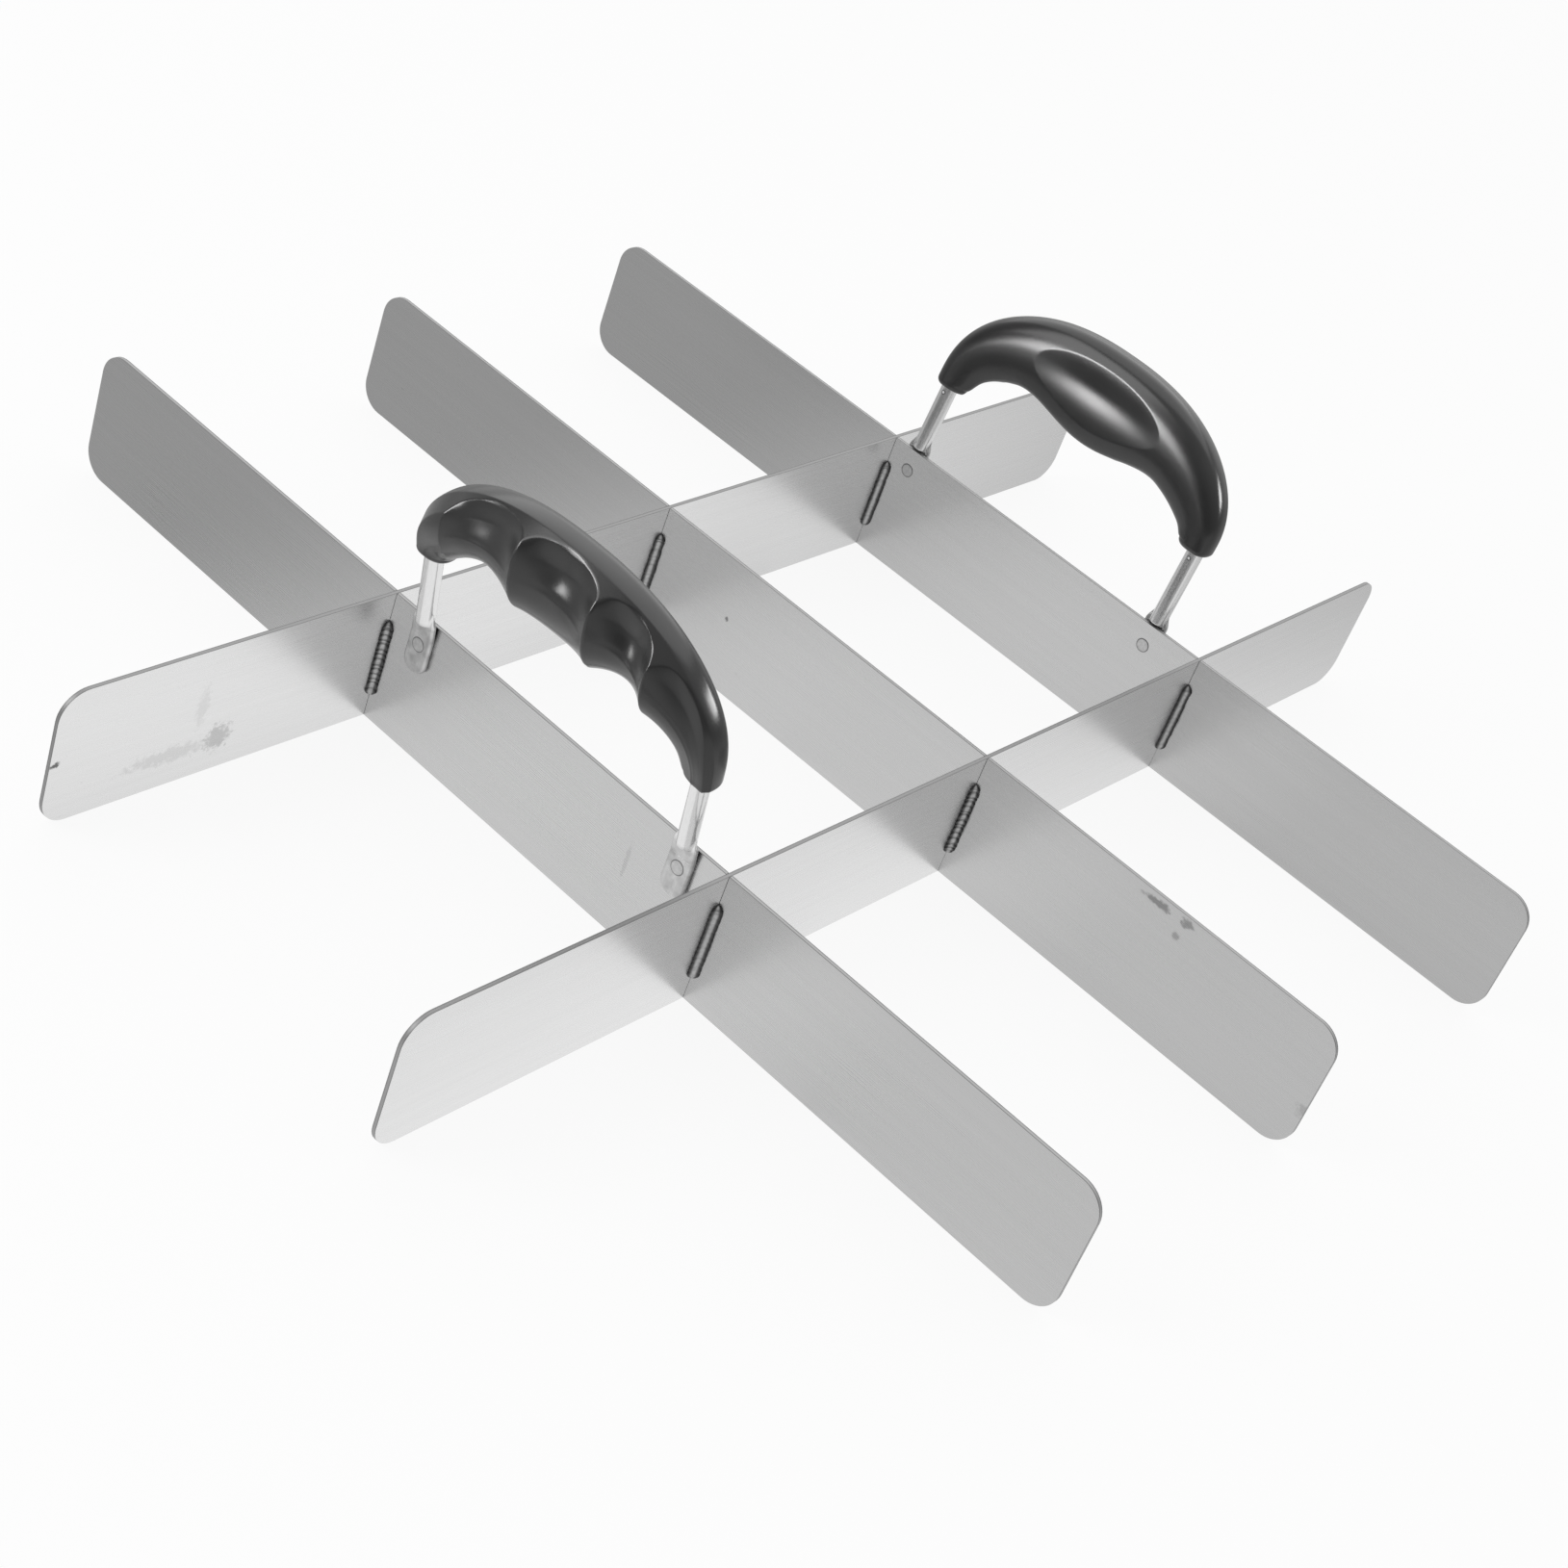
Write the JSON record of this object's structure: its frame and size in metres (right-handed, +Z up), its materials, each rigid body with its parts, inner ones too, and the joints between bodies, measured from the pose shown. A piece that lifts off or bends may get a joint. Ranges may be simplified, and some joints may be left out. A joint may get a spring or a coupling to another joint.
{
  "type": "cake portion marker",
  "caption": "Rectangular grid of upright steel blades, half-lapped and welded, with a moulded arched carrying handle on each side, for marking a tray cake into equal portions.",
  "frame": {"origin": "middle of the grid at the blades' lower edges, which is the bottom centre of the whole part", "axes": "+X along the two long blades, +Y along the three short blades, +Z up; the handles are on the -X and +X sides"},
  "size_m": [0.525, 0.46, 0.1277],
  "materials": {
    "blade_steel": "fine brushed along the blades",
    "weld_steel": "rippled bead with a dark heat tint at its edges",
    "post_steel": "bright drawn tube",
    "rivet_steel": "ground flush",
    "grip_plastic": "black, glossy, moulded"
  },
  "bodies": {
    "root": {"short_blade_left": "blade_steel", "short_blade_middle": "blade_steel", "short_blade_right": "blade_steel", "long_blade_front": "blade_steel", "long_blade_back": "blade_steel", "weld_left_front": "weld_steel", "weld_left_back": "weld_steel", "weld_middle_front": "weld_steel", "weld_middle_back": "weld_steel", "weld_right_front": "weld_steel", "weld_right_back": "weld_steel", "post_left_front": "post_steel", "post_left_back": "post_steel", "post_right_front": "post_steel", "post_right_back": "post_steel", "rivet_left_front": "rivet_steel", "rivet_left_back": "rivet_steel", "rivet_right_front": "rivet_steel", "rivet_right_back": "rivet_steel", "grip_left": "grip_plastic", "grip_right": "grip_plastic"}
  },
  "joints": []
}
